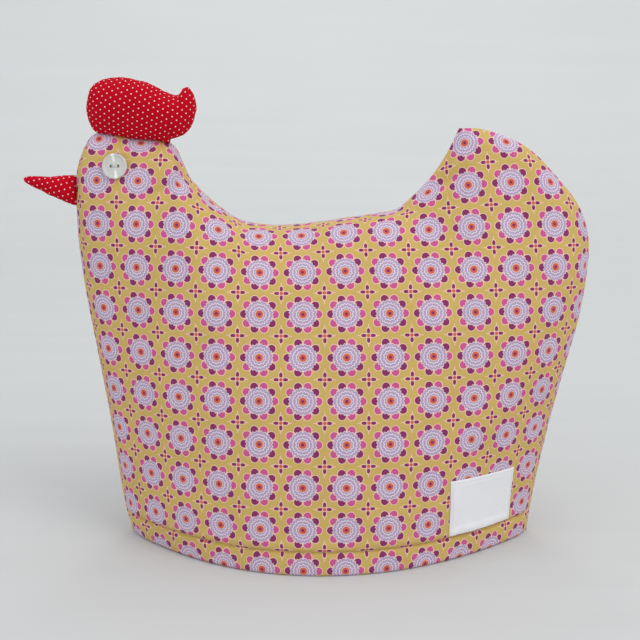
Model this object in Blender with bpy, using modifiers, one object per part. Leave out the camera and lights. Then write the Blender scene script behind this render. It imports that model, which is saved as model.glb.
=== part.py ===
"""Hen-shaped padded tea cosy, standing open on its hem.

Two mirror-image padded panels meet in a seam that runs up the breast, over the head and back,
and down the rump. A stuffed comb and beak sit in that seam, with a button eye on each side and a
sewn-on label near the hem of the near panel.

Blender metres, +Z up. The beak points to -X and the near side faces -Y. The origin is on the
surface that the hem stands on, under the middle of the cosy. Sizes below are in millimetres.
"""

import math

import bmesh
import bpy
import numpy as np
from mathutils import Matrix, Vector
from mathutils.bvhtree import BVHTree

MM = 0.001
CLEARANCE = 0.3             # between pieces that touch on the real cosy

# Padded panel
WALL = 6.5                  # padded cloth, from the outside to the inside
HALF_DEPTH = 72.0           # from the seam plane to the middle of the hem
PUFF = 6.0                  # how far the padding stands out beside the seam
PUFF_RUN = 9.0              # how far from the seam it takes to stand out
HALF_WIDTH = 145.0          # typical, from mid-panel to a side seam
BACK_HEIGHT = 215.0         # typical, from the hem to the top seam
COLUMNS = 40
ROWS = 26
COLUMN_CROWDING = 0.75      # how much closer the columns stand beside the side seams
ROW_CROWDING = 1.4          # how much closer the rows lie under the top seam

# How a panel swells out between its seams, as shares and powers
FULLEST_FORWARD = 0.04      # how far the fullest line stands in front of the middle
ACROSS_POWER = 2.0
ACROSS_SHARPNESS = 0.9
UP_POWER = 2.1
UP_SHARPNESS = 0.8
HEM_SHARPENING = 0.1        # added to the two powers across, beside the hem
HEM_ZONE = 0.4              # the part of the height over which that fades out
HEM_FADE = 1.3

# Seam outline in the plane y = 0, as (x, z), each from its lower or front end
BREAST = ((-110.6, 0), (-115.5, 22), (-121.8, 73), (-128.7, 119), (-134.0, 154),
          (-137.3, 190), (-136.6, 224), (-131.7, 240))
CROWN = ((-131.7, 240), (-124.0, 248.3), (-102.7, 245.7), (-80.6, 242.7), (-73.7, 230.9),
         (-68.0, 219.8), (-55.2, 206.6), (-42.5, 197.3), (-26.3, 194.0), (-7.0, 194.1),
         (21.4, 197.7), (49.9, 202.6), (61.6, 211.2), (73.0, 223.3), (82.1, 237.5), (88.5, 251.5))
RUMP = ((136.8, 0), (140.4, 27.6), (148.3, 70), (156.3, 105), (164.0, 138), (167.9, 171),
        (166.6, 191), (159.9, 207), (149.0, 220.7), (133.5, 236.7), (119.7, 245.2),
        (102.0, 250.9), (88.5, 251.5))

# Middle of the eye
EYE_X = -112.0
EYE_Z = 230.4

# Soft hollows pressed into the near panel: place, direction, half length, half width, depth
CREASES = (
    # x, z, degrees, length, width, depth
    (80.5, 222.0, 27, 17, 7, 1.6),    # at the root of the tail
    (-80.0, 220.0, 25, 14, 7, 1.2),   # at the nape
    (-36.0, 186.0, -80, 10, 7, 1.0),  # pucker under the back seam
    (EYE_X, EYE_Z, 0, 13, 13, 1.2),   # the eye's thread pulls the padding in
)

# Comb, as (x, z): its top edge and its underside, both from the front to the back
COMB_TOP = ((-129.3, 263.0), (-128.6, 270.5), (-124.9, 277.2), (-117.5, 280.7), (-106.8, 281.4),
            (-92.9, 278.2), (-82.0, 272.8), (-76.4, 270.6), (-72.0, 274.7), (-68.8, 275.0),
            (-65.9, 269.3), (-65.0, 262.6))
COMB_UNDER = ((-129.3, 263.0), (-128.4, 256.5), (-124.9, 250.0), (-119.0, 247.4), (-102.7, 245.2),
              (-82.5, 242.4), (-80.6, 245.4), (-76.0, 246.5), (-70.5, 249.6), (-67.0, 255.5),
              (-65.0, 262.6))
COMB_HALF_THICKNESS = 13.5
COMB_ENDS = 2.6             # the higher, the blunter its front and back ends
COMB_NARROW = 0.35          # how much thinner the comb is at the seam it is sewn into
COMB_SECTIONS = 26
COMB_SIDES = 20

# Beak, one row for each section from the head to the tip
BEAK_SECTIONS = (
    # x, lowest z, highest z, half thickness
    (-137.6, 205.8, 224.0, 3.4),
    (-140.5, 206.7, 223.9, 5.2),
    (-145.5, 208.8, 223.4, 6.0),
    (-151.5, 211.5, 223.0, 5.2),
    (-157.5, 214.4, 223.2, 4.0),
    (-162.8, 217.0, 223.3, 2.9),
    (-166.6, 219.2, 222.9, 1.9),
    (-167.9, 220.5, 222.1, 0.8),
)
BEAK_SIDES = 16

# Eye button
BUTTON_RADIUS = 7.5
BUTTON_THICKNESS = 2.4
BUTTON_RIM = 1.3            # width of the raised rim
BUTTON_DISH = 0.7           # depth of the hollow face inside the rim
BUTTON_SLOPE = 0.9          # width of the slope from the rim down into the hollow
BUTTON_EDGE = 0.6           # how much the outer edges are rounded off
HOLE_RADIUS = 0.9
HOLE_SPACING = 4.0
BUTTON_STEPS = 40

# Label
LABEL_WIDTH = 48.0
LABEL_HEIGHT = 35.0
LABEL_THICKNESS = 1.0
LABEL_X = 103.7             # its middle
LABEL_Z = 34.2
LABEL_LEAN = 0.025          # it leans out with the panel, this much for each millimetre up
LABEL_COLUMNS = 14
LABEL_ROWS = 7
LABEL_STEP = 0.5            # between the places that are measured along the panel

# Colours, roughness
PRINT_COTTON = ((0.58, 0.40, 0.22), 0.85)
RED_COTTON = ((0.60, 0.01, 0.03), 0.80)
PEARL = ((0.72, 0.70, 0.66), 0.25)
SATIN = ((0.82, 0.82, 0.80), 0.45)


def smooth_curve(points, steps=24):
    """A fine polyline through the points, by Catmull-Rom."""
    given = np.array(points, dtype=float)
    first = 2 * given[0] - given[1]
    last = 2 * given[-1] - given[-2]
    p = np.vstack([first, given, last])
    t = np.linspace(0, 1, steps, endpoint=False)[:, None]
    spans = []
    for a, b, c, d in zip(p[:-3], p[1:-2], p[2:-1], p[3:]):
        spans.append(0.5 * (2 * b + (c - a) * t + (2 * a - 5 * b + 4 * c - d) * t ** 2
                            + (3 * b - a - 3 * c + d) * t ** 3))
    spans.append(given[-1:])
    return np.vstack(spans)


def at_share(line, share):
    """The point at a share, 0 to 1, of the polyline's length."""
    steps = np.hypot(*np.diff(line, axis=0).T)
    run = np.concatenate([[0], np.cumsum(steps)])
    return np.array([np.interp(share * run[-1], run, line[:, k]) for k in (0, 1)])


def height_at(line, x):
    """The height of a polyline that runs from the front to the back, at x."""
    return float(np.interp(x, line[:, 0], line[:, 1]))


BREAST_LINE = smooth_curve(BREAST)
CROWN_LINE = smooth_curve(CROWN)
RUMP_LINE = smooth_curve(RUMP)


def outline_point(u, v):
    """A point of the flat panel: u from breast to rump, v from the hem to the top seam."""
    hem_front = BREAST_LINE[0]
    hem_back = RUMP_LINE[0]
    top_front = CROWN_LINE[0]
    top_back = CROWN_LINE[-1]
    hem = hem_front + u * (hem_back - hem_front)
    across = (1 - v) * hem + v * at_share(CROWN_LINE, u)
    up = (1 - u) * at_share(BREAST_LINE, v) + u * at_share(RUMP_LINE, v)
    corners = ((1 - v) * hem
               + v * (top_front + u * (top_back - top_front)))
    return across + up - corners


def rounded(share):
    """A quarter round: 0 at the seam, 1 from a share of 1 on."""
    left = 1 - min(max(share, 0.0), 1.0)
    return math.sqrt(1 - left * left)


def swell(u, v):
    """How full the panel stands, from 0 at the seam to 1 in the middle of the hem.

    The hem draws in to a point at each side seam, and the panel is rounder higher up.
    """
    middle = 2 * u - 1
    across = min(abs(middle + FULLEST_FORWARD * (1 - middle ** 2)), 1.0)
    sharpening = HEM_SHARPENING * max(0.0, 1 - v / HEM_ZONE) ** HEM_FADE
    side = (1 - across ** (ACROSS_POWER + sharpening)) ** (ACROSS_SHARPNESS + sharpening)
    upright = (1 - min(v, 1.0) ** UP_POWER) ** UP_SHARPNESS
    return side * upright


def crease_depth(x, z):
    """How far the soft hollows press the near panel in at a place."""
    total = 0.0
    for place_x, place_z, degrees, length, width, depth in CREASES:
        turn = math.radians(degrees)
        along = (x - place_x) * math.cos(turn) + (z - place_z) * math.sin(turn)
        beside = (z - place_z) * math.cos(turn) - (x - place_x) * math.sin(turn)
        total += depth * math.exp(-(along / length) ** 2 - (beside / width) ** 2)
    return total


def outer_point(u, v, near):
    """A point of the panel's outside, as (x, distance from the seam plane, z)."""
    x, z = outline_point(u, v)
    from_side = (1 - abs(2 * u - 1)) * HALF_WIDTH
    from_top = (1 - v) * BACK_HEIGHT
    edge = rounded(from_side / PUFF_RUN) * rounded(from_top / PUFF_RUN)
    out = PUFF * edge + (HALF_DEPTH - PUFF) * swell(u, v)
    if near:
        out -= edge * crease_depth(x, z)
    return x, CLEARANCE / 2 + out, z


def inner_point(u, v):
    """The matching point of the panel's inside, set in from the seam by the wall."""
    side_inset = WALL / (2 * HALF_WIDTH)
    top_inset = WALL / BACK_HEIGHT
    x, z = outline_point(side_inset + u * (1 - 2 * side_inset), v * (1 - top_inset))
    return x, CLEARANCE / 2 + (HALF_DEPTH - WALL) * swell(u, v), z


def column_share(step):
    """Columns stand closer together beside the side seams."""
    share = step / COLUMNS
    return share - COLUMN_CROWDING * math.sin(2 * math.pi * share) / (2 * math.pi)


def row_share(step):
    """Rows lie closer together under the top seam."""
    return 1 - (1 - step / ROWS) ** ROW_CROWDING


def material(name, look):
    colour, roughness = look
    made = bpy.data.materials.new(name)
    made.use_nodes = True
    shader = made.node_tree.nodes["Principled BSDF"]
    shader.inputs["Base Color"].default_value = (*colour, 1)
    shader.inputs["Roughness"].default_value = roughness
    shader.inputs["Metallic"].default_value = 0
    return made


def add_object(name, bm, collection, look):
    """Close the bmesh into a named object with its own material."""
    bmesh.ops.recalc_face_normals(bm, faces=bm.faces)
    mesh = bpy.data.meshes.new(name)
    bm.to_mesh(mesh)
    bm.free()
    mesh.shade_smooth()
    mesh.set_sharp_from_angle(angle=math.radians(50))
    mesh.materials.append(material(name, look))
    made = bpy.data.objects.new(name, mesh)
    collection.objects.link(made)
    return made


def join_rows(bm, rows, closed=False):
    """Faces between each row of vertices and the next."""
    for low, high in zip(rows, rows[1:]):
        count = len(low)
        for k in range(count if closed else count - 1):
            after = (k + 1) % count
            bm.faces.new((low[k], low[after], high[after], high[k]))


def add_panel(name, side, collection):
    """One padded panel. Side is -1 for the near panel and 1 for the far one."""
    bm = bmesh.new()
    outer = []
    inner = []
    for j in range(ROWS + 1):
        v = row_share(j)
        shares = [column_share(i) for i in range(COLUMNS + 1)]
        outside = [outer_point(u, v, near=side < 0) for u in shares]
        inside = [inner_point(u, v) for u in shares]
        outer.append([bm.verts.new((x * MM, side * y * MM, z * MM)) for x, y, z in outside])
        inner.append([bm.verts.new((x * MM, side * y * MM, z * MM)) for x, y, z in inside])
    join_rows(bm, outer)
    join_rows(bm, inner)
    join_rows(bm, [outer[0], inner[0]])
    join_rows(bm, [outer[-1], inner[-1]])
    for end in (0, -1):
        join_rows(bm, [[row[end] for row in outer], [row[end] for row in inner]])
    return add_object(name, bm, collection, PRINT_COTTON)


def add_comb(collection):
    """A stuffed form lofted from front to back, narrow where it is sewn in."""
    top = smooth_curve(COMB_TOP)
    under = smooth_curve(COMB_UNDER)
    front = COMB_TOP[0][0]
    back = COMB_TOP[-1][0]
    middle = (front + back) / 2
    reach = (back - front) / 2
    bm = bmesh.new()
    rings = []
    for step in range(1, COMB_SECTIONS):
        share = -math.cos(math.pi * step / COMB_SECTIONS)
        x = middle + reach * share
        high = height_at(top, x)
        low = max(height_at(under, x), height_at(CROWN_LINE, x) + CLEARANCE)
        thick = COMB_HALF_THICKNESS * math.sqrt(1 - abs(share) ** COMB_ENDS)
        ring = []
        for side in range(COMB_SIDES):
            angle = 2 * math.pi * side / COMB_SIDES
            z = (high + low) / 2 + (high - low) / 2 * math.sin(angle)
            low_share = (1 - math.sin(angle)) / 2
            y = thick * math.cos(angle) * (1 - COMB_NARROW * low_share ** 2)
            ring.append(bm.verts.new((x * MM, y * MM, z * MM)))
        rings.append(ring)
    join_rows(bm, rings, closed=True)
    for ring, tip in ((rings[0], COMB_TOP[0]), (rings[-1], COMB_TOP[-1])):
        end = bm.verts.new((tip[0] * MM, 0, tip[1] * MM))
        for k in range(COMB_SIDES):
            bm.faces.new((ring[k], ring[(k + 1) % COMB_SIDES], end))
    return add_object("comb", bm, collection, RED_COTTON)


def add_beak(collection):
    """A stuffed cone with a flat foot against the front seam."""
    bm = bmesh.new()
    rings = []
    for x, low, high, thick in BEAK_SECTIONS:
        ring = []
        for side in range(BEAK_SIDES):
            angle = 2 * math.pi * side / BEAK_SIDES
            z = (high + low) / 2 + (high - low) / 2 * math.sin(angle)
            ring.append(bm.verts.new((x * MM, thick * math.cos(angle) * MM, z * MM)))
        rings.append(ring)
    join_rows(bm, rings, closed=True)
    bm.faces.new(rings[0])
    bm.faces.new(rings[-1])
    return add_object("beak", bm, collection, RED_COTTON)


def skin_of(panel):
    """A search tree over a panel's faces."""
    bm = bmesh.new()
    bm.from_mesh(panel.data)
    tree = BVHTree.FromBMesh(bm)
    bm.free()
    return tree


def skin_point(tree, side, x, z):
    """The point of the panel's outside at x and z, in millimetres."""
    start = Vector((x, side * 2 * HALF_DEPTH, z)) * MM
    place = tree.ray_cast(start, Vector((0, -side, 0)))[0]
    return place / MM


def skin_normal(tree, side, x, z, reach=3.0):
    """The outward direction of the panel there, smoothed over its facets within reach."""
    across = skin_point(tree, side, x + reach, z) - skin_point(tree, side, x - reach, z)
    up = skin_point(tree, side, x, z + reach) - skin_point(tree, side, x, z - reach)
    normal = across.cross(up).normalized()
    return normal if normal.y * side > 0 else -normal


def button_profile():
    """Half section of the button, as (radius, height), down its outer side."""
    top = BUTTON_THICKNESS
    outside = BUTTON_RADIUS
    rim = outside - BUTTON_RIM
    edge = BUTTON_EDGE
    profile = [(0.0, top - BUTTON_DISH), (rim - BUTTON_SLOPE, top - BUTTON_DISH), (rim, top - edge / 4),
               (outside - edge, top)]
    for degrees in (30, 60, 90):
        turn = math.radians(degrees)
        profile.append((outside - edge * (1 - math.sin(turn)), top - edge * (1 - math.cos(turn))))
    profile += [(outside - edge, edge / 2), (outside - 2 * edge, 0.0), (0.0, 0.0)]
    return profile


def button_body(name, collection):
    """The turned button lying on its back, with its edges rounded by the profile."""
    profile = button_profile()
    mesh = bpy.data.meshes.new(name)
    points = [(radius * MM, 0, height * MM) for radius, height in profile]
    mesh.from_pydata(points, [(k, k + 1) for k in range(len(points) - 1)], [])
    made = bpy.data.objects.new(name, mesh)
    collection.objects.link(made)
    turn = made.modifiers.new("turn", "SCREW")
    turn.angle = 2 * math.pi
    turn.steps = BUTTON_STEPS
    turn.render_steps = BUTTON_STEPS
    turn.use_merge_vertices = True
    turn.merge_threshold = 0.00001
    made.data.materials.append(material(name, PEARL))
    return made


def add_button(name, tree, side, collection, cutters):
    """The eye button, seated on the panel and facing outwards, with two thread holes."""
    button = button_body(name, collection)
    for sign in (-1, 1):
        bpy.ops.mesh.primitive_cylinder_add(vertices=12, radius=HOLE_RADIUS * MM,
                                            depth=3 * BUTTON_THICKNESS * MM)
        drill = bpy.context.object
        drill.name = f"{name} drill {'front' if sign < 0 else 'back'}"
        drill.location = (sign * HOLE_SPACING / 2 * MM, 0, BUTTON_THICKNESS / 2 * MM)
        drill.parent = button
        drill.hide_render = True
        drill.display_type = "WIRE"
        for owner in drill.users_collection:
            owner.objects.unlink(drill)
        cutters.objects.link(drill)
        cut = button.modifiers.new("hole", "BOOLEAN")
        cut.operation = "DIFFERENCE"
        cut.solver = "EXACT"
        cut.object = drill

    centre = skin_point(tree, side, EYE_X, EYE_Z)
    normal = skin_normal(tree, side, EYE_X, EYE_Z)
    proud = 0.0
    for step in range(BUTTON_STEPS):
        angle = 2 * math.pi * step / BUTTON_STEPS
        for radius in (BUTTON_RADIUS / 2, BUTTON_RADIUS):
            beside = skin_point(tree, side, EYE_X + radius * math.cos(angle),
                                EYE_Z + radius * math.sin(angle))
            proud = max(proud, (beside - centre).dot(normal))
    right = Vector((1, 0, 0)) - normal * normal.x
    right.normalize()
    up = normal.cross(right)
    facing = Matrix((right, up, normal)).transposed().to_4x4()
    seat = centre + normal * (proud + CLEARANCE)
    button.matrix_world = Matrix.Translation(seat * MM) @ facing
    return button


def label_row(tree, z):
    """Places along one level line of the label, evenly spaced over the curved panel."""
    middle = LABEL_X + LABEL_LEAN * (z - LABEL_Z)
    line = {0.0: skin_point(tree, -1, middle, z)}
    for direction in (-1, 1):
        x = middle
        here = line[0.0]
        run = 0.0
        while run < LABEL_WIDTH / 2 + LABEL_STEP:
            x += direction * LABEL_STEP
            after = skin_point(tree, -1, x, z)
            run += (after - here).length
            here = after
            line[direction * run] = after
    runs = sorted(line)
    places = [line[run].x for run in runs]
    wanted = np.linspace(-LABEL_WIDTH / 2, LABEL_WIDTH / 2, LABEL_COLUMNS + 1)
    return [float(np.interp(run, runs, places)) for run in wanted]


def add_label(tree, collection):
    """A thin cloth rectangle that follows the near panel."""
    bm = bmesh.new()
    back = []
    face = []
    for z in np.linspace(LABEL_Z - LABEL_HEIGHT / 2, LABEL_Z + LABEL_HEIGHT / 2, LABEL_ROWS + 1):
        back_row = []
        face_row = []
        for x in label_row(tree, z):
            place = skin_point(tree, -1, x, z)
            normal = skin_normal(tree, -1, x, z)
            back_row.append(bm.verts.new((place + normal * CLEARANCE) * MM))
            face_row.append(bm.verts.new((place + normal * (CLEARANCE + LABEL_THICKNESS)) * MM))
        back.append(back_row)
        face.append(face_row)
    join_rows(bm, back)
    join_rows(bm, face)
    join_rows(bm, [back[0], face[0]])
    join_rows(bm, [back[-1], face[-1]])
    for end in (0, -1):
        join_rows(bm, [[row[end] for row in back], [row[end] for row in face]])
    return add_object("label", bm, collection, SATIN)


def main():
    for old in list(bpy.data.objects):
        bpy.data.objects.remove(old, do_unlink=True)
    cosy = bpy.data.collections.new("tea cosy")
    cutters = bpy.data.collections.new("cutters")
    bpy.context.scene.collection.children.link(cosy)
    bpy.context.scene.collection.children.link(cutters)

    near = add_panel("panel_near", -1, cosy)
    far = add_panel("panel_far", 1, cosy)
    near_skin = skin_of(near)
    add_comb(cosy)
    add_beak(cosy)
    add_button("eye_button_near", near_skin, -1, cosy, cutters)
    add_button("eye_button_far", skin_of(far), 1, cosy, cutters)
    add_label(near_skin, cosy)


main()
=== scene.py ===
"""Looks of the hen-shaped padded tea cosy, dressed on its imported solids.

Metres, +Z up, beak to -X, near side to -Y. Shapes are worked out in millimetres, with the seam
outline and the swell of the panels repeated from the part, and the cloth's own coordinates (how far
along and up the flat cloth a point lies) are kept on every cloth mesh for its print and weave.
"""
import math

import bmesh
import bpy
import numpy as np
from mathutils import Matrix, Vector, noise
from mathutils.bvhtree import BVHTree


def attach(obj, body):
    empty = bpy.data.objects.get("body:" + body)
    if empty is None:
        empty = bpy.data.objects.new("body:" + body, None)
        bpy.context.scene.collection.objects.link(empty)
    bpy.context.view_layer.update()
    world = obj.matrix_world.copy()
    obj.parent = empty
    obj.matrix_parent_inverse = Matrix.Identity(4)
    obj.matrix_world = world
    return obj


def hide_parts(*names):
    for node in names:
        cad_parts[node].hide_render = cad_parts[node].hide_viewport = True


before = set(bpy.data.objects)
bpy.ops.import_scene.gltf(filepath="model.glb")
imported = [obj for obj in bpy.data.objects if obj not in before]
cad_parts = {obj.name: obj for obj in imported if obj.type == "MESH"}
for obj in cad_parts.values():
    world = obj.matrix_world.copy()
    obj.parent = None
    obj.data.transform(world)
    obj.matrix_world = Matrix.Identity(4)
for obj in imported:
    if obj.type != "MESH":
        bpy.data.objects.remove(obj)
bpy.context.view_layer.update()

MM = 0.001
BODY = "root"

# Panels
WALL = 6.5
HALF_DEPTH = 72.0
PUFF = 6.0
PUFF_RUN = 9.0
HALF_WIDTH = 145.0
BACK_HEIGHT = 215.0
SEAM_GAP = 0.3
FULLEST_FORWARD = 0.04
ACROSS_POWER = 2.0
ACROSS_SHARPNESS = 0.9
UP_POWER = 2.1
UP_SHARPNESS = 0.8
HEM_SHARPENING = 0.1
HEM_ZONE = 0.4
HEM_FADE = 1.3

# Seam outline in the plane y = 0, as (x, z), each from its lower or front end
BREAST = ((-110.6, 0), (-115.5, 22), (-121.8, 73), (-128.7, 119), (-134.0, 154),
          (-137.3, 190), (-136.6, 224), (-131.7, 240))
CROWN = ((-131.7, 240), (-124.0, 248.3), (-102.7, 245.7), (-80.6, 242.7), (-73.7, 230.9),
         (-68.0, 219.8), (-55.2, 206.6), (-42.5, 197.3), (-26.3, 194.0), (-7.0, 194.1),
         (21.4, 197.7), (49.9, 202.6), (61.6, 211.2), (73.0, 223.3), (82.1, 237.5), (88.5, 251.5))
RUMP = ((136.8, 0), (140.4, 27.6), (148.3, 70), (156.3, 105), (164.0, 138), (167.9, 171),
        (166.6, 191), (159.9, 207), (149.0, 220.7), (133.5, 236.7), (119.7, 245.2),
        (102.0, 250.9), (88.5, 251.5))

# Fineness of the panel meshes
COLUMNS = 300
ROWS = 200
LINING_STEP = 3             # the inside is this much coarser
COLUMN_CROWDING = 0.6       # how much closer the columns stand beside the side seams
HEM_ROWS_TO = 21            # finer rows up to this height
SEAM_ROWS_FROM = 200        # and again from this one
SEAM_CROWDING = 1.7
FLAT_STEPS = ((31, 37, 1500), (61, 73, 500), (121, 145, 250))   # rows, columns, rounds
EDGES = ((0, slice(None)), (-1, slice(None)), (slice(None), 0), (slice(None), -1))  # of a grid

# Hem: turned up inside and held by one row of machine stitches
HEM_STITCH_UP = 14.6        # height of the stitches above the edge, along the cloth
HEM_TURN = 17.0             # height of the turned-up print inside
HEM_ROUND = 2.4             # radius of the folded edge on the outside
HEM_ROUND_INSIDE = 1.8
STITCH_PITCH = 3.1
STITCH_LENGTH = 2.5
HEM_THREAD_WIDTH = 0.38
EYE_THREAD_WIDTH = 0.36
LABEL_THREAD_WIDTH = 0.26

# Gathers beside the panels' seams, with the seams' lengths
SIDE_SEAM = 255
TOP_SEAM = 330
PANEL_GATHERS = {"stretch": 0.22, "fine": 0.5, "step": 7, "reach": 6.5, "start": 1.0}

# Middle of each eye
EYE_X = -112.0
EYE_Z = 230.4

# Soft creases; side -1 is the near panel
CREASES = (
    # side, x, z, degrees, length, width, depth
    (-1, 80.5, 222.0, 27, 15, 3.8, 2.9),
    (-1, 90.0, 212.0, 24, 12, 4, 1.1),
    (-1, -80.0, 220.0, 25, 13, 4, 2.4),
    (-1, -90.0, 214.0, 32, 9, 3.5, 0.8),
    (-1, -36.0, 186.0, -80, 8, 3.2, 1.0),
    (-1, -62.0, 199.0, -50, 8, 3.5, 0.5),
    (-1, 47.0, 193.0, -75, 7, 3.0, 0.6),
    (-1, EYE_X, EYE_Z, 0, 13, 13, 1.2),
    (1, 78.0, 220.0, 30, 15, 4, 2.6),
    (1, -79.0, 219.0, 22, 12, 4, 2.2),
    (1, -20.0, 184.0, -85, 8, 3.4, 0.8),
    (1, 30.0, 188.0, 80, 7, 3.0, 0.6),
    (1, EYE_X, EYE_Z, 0, 13, 13, 1.2),
)

# Comb
COMB_TOP = ((-129.3, 263.0), (-128.6, 270.5), (-124.9, 277.2), (-117.5, 280.7), (-106.8, 281.4),
            (-92.9, 278.2), (-82.0, 272.8), (-76.4, 270.6), (-72.0, 274.7), (-68.8, 275.0),
            (-65.9, 269.3), (-65.0, 262.6))
COMB_UNDER = ((-129.3, 263.0), (-128.4, 256.5), (-124.9, 250.0), (-119.0, 247.4), (-102.7, 245.2),
              (-82.5, 242.4), (-80.6, 245.4), (-76.0, 246.5), (-70.5, 249.6), (-67.0, 255.5),
              (-65.0, 262.6))
COMB_HALF_THICKNESS = 13.5
COMB_ENDS = 2.6
COMB_NARROW = 0.35
COMB_SINK = 0.3             # how far its foot goes into the seam
COMB_SQUARE = 0.62          # the lower, the squarer its lower half
COMB_FLAT_STEPS = ((22, 15, 900), (43, 29, 400), (85, 57, 200))

# Beak, one row for each section from the head to the tip
BEAK_SECTIONS = (
    # x, lowest z, highest z, half thickness
    (-137.6, 205.8, 224.0, 3.4),
    (-140.5, 206.7, 223.9, 5.2),
    (-145.5, 208.8, 223.4, 6.0),
    (-151.5, 211.5, 223.0, 5.2),
    (-157.5, 214.4, 223.2, 4.0),
    (-162.8, 217.0, 223.3, 2.9),
    (-166.6, 219.2, 222.9, 1.9),
    (-167.9, 220.5, 222.1, 0.8),
)
BEAK_ROOT = (-133.5, -135.5, -136.9)    # x of the slim sections inside the seam
BEAK_SQUARE = 0.85
BEAK_FLAT_STEPS = ((22, 17, 900), (43, 33, 400))

# Eye buttons
BUTTON_RADIUS = 7.5
BUTTON_THICKNESS = 2.4
HOLE_RADIUS = 0.9
HOLE_SPACING = 4.0
BUTTON_GAP = 0.1            # from the highest cloth beneath it
# Half section as (radius, height): dished face, raised rim, slim foot
BUTTON_PROFILE = ((0.0, 1.66), (1.2, 1.66), (3.4, 1.72), (4.8, 1.84), (5.5, 1.96), (5.9, 2.12),
                  (6.2, 2.3), (6.55, 2.38), (6.95, 2.34), (7.25, 2.2), (7.46, 1.9), (7.5, 1.6),
                  (7.42, 1.25), (7.1, 0.8), (6.5, 0.35), (5.6, 0.05), (4.6, 0.0), (0.0, 0.0))
# Half a strand of its thread, as (share of the way to a hole, height)
STRAND = ((1.06, -0.2), (1.04, 0.7), (1.0, 1.35), (0.86, 1.72), (0.4, 1.82))

# Label
LABEL_WIDTH = 48.0
LABEL_HEIGHT = 35.0
LABEL_X = 103.7             # its middle
LABEL_Z = 34.2
LABEL_LEAN = 0.025
LABEL_FOLD = 1.6            # from its edge in to its stitches
LABEL_GAP = 0.22            # under its back
LABEL_TURNED = 4.2          # width of its turned-in edge
LABEL_STITCH = 2.6
LABEL_COLUMNS = 97
LABEL_ROWS = 71


def smooth_curve(points, steps=24):
    """A fine polyline through the points, by Catmull-Rom."""
    given = np.array(points, dtype=float)
    p = np.vstack([2 * given[0] - given[1], given, 2 * given[-1] - given[-2]])
    t = np.linspace(0, 1, steps, endpoint=False)[:, None]
    spans = [0.5 * (2 * b + (c - a) * t + (2 * a - 5 * b + 4 * c - d) * t ** 2
                    + (3 * b - a - 3 * c + d) * t ** 3)
             for a, b, c, d in zip(p[:-3], p[1:-2], p[2:-1], p[3:])]
    return np.vstack([*spans, given[-1:]])


def run_along(line):
    """Lengths along a line of points, from its first."""
    return np.concatenate([[0], np.cumsum(np.linalg.norm(np.diff(line, axis=0), axis=1))])


def on_line(line, run, places):
    """Points of a line at lengths along it, given its points' own."""
    return np.stack([np.interp(places, run, column) for column in line.T], axis=-1)


def at_share(line, share):
    """Points at shares, 0 to 1, of a line's length."""
    run = run_along(line)
    return on_line(line, run, share * run[-1])


def unit(vectors):
    return vectors / np.maximum(np.linalg.norm(vectors, axis=-1, keepdims=True), 1e-9)


BREAST_LINE = smooth_curve(BREAST)
CROWN_LINE = smooth_curve(CROWN)
RUMP_LINE = smooth_curve(RUMP)


def outline_grid(u, v):
    """Flat panel points: u from breast to rump, v from the hem to the top seam, as arrays."""
    a = u[..., None]
    b = v[..., None]
    hem = BREAST_LINE[0] + a * (RUMP_LINE[0] - BREAST_LINE[0])
    top = CROWN_LINE[0] + a * (CROWN_LINE[-1] - CROWN_LINE[0])
    flat = ((1 - b) * hem + b * at_share(CROWN_LINE, u) + (1 - a) * at_share(BREAST_LINE, v)
            + a * at_share(RUMP_LINE, v) - ((1 - b) * hem + b * top))
    return flat[..., 0], flat[..., 1]


def swell(u, v):
    """How full the panel stands, from 0 at the seam to 1 in the middle of the hem."""
    middle = 2 * u - 1
    across = np.minimum(np.abs(middle + FULLEST_FORWARD * (1 - middle ** 2)), 1)
    sharpening = HEM_SHARPENING * np.maximum(0, 1 - v / HEM_ZONE) ** HEM_FADE
    side = (1 - across ** (ACROSS_POWER + sharpening)) ** (ACROSS_SHARPNESS + sharpening)
    upright = (1 - np.minimum(v, 1) ** UP_POWER) ** UP_SHARPNESS
    return side * upright


def rounded(share):
    """A soft shoulder: 0 at the seam, 1 from a share of 1 on."""
    left = 1 - np.clip(share, 0, 1)
    return 1 - left * left


def noise_grid(a, b, scale, seed):
    """Smooth noise, about -1 to 1, at arrays of places in millimetres."""
    places = zip((a / scale).ravel(), (b / scale).ravel())
    return np.array([noise.noise((p, q, seed)) for p, q in places]).reshape(a.shape)


# Meshes

def keep_vectors(mesh, name, values):
    """Keep a vector at every point of a mesh, for its material."""
    kept = mesh.attributes.new(name=name, type="FLOAT_VECTOR", domain="POINT")
    kept.data.foreach_set("vector", np.asarray(values, dtype=np.float32).ravel())


def smooth_faces(mesh, sharp):
    """Turn the faces outwards and smooth the edges that bend less than so many degrees."""
    bm = bmesh.new()
    bm.from_mesh(mesh)
    bmesh.ops.recalc_face_normals(bm, faces=bm.faces)
    bm.to_mesh(mesh)
    bm.free()
    mesh.shade_smooth()
    mesh.set_sharp_from_angle(angle=math.radians(sharp))


def add_object(name, data):
    made = bpy.data.objects.new(name, data)
    bpy.context.scene.collection.objects.link(made)
    return made


def add_mesh(name, points, faces, materials, face_materials=None, attributes=None, sharp=60):
    """A smooth-shaded object from points in millimetres, with vectors kept at its points."""
    mesh = bpy.data.meshes.new(name)
    mesh.from_pydata((np.asarray(points) * MM).tolist(), [], faces)
    for look in materials:
        mesh.materials.append(look)
    if face_materials is not None:
        mesh.polygons.foreach_set("material_index", face_materials)
    for label, values in (attributes or {}).items():
        keep_vectors(mesh, label, values)
    mesh.validate()
    smooth_faces(mesh, sharp)
    return add_object(name, mesh)


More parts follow.
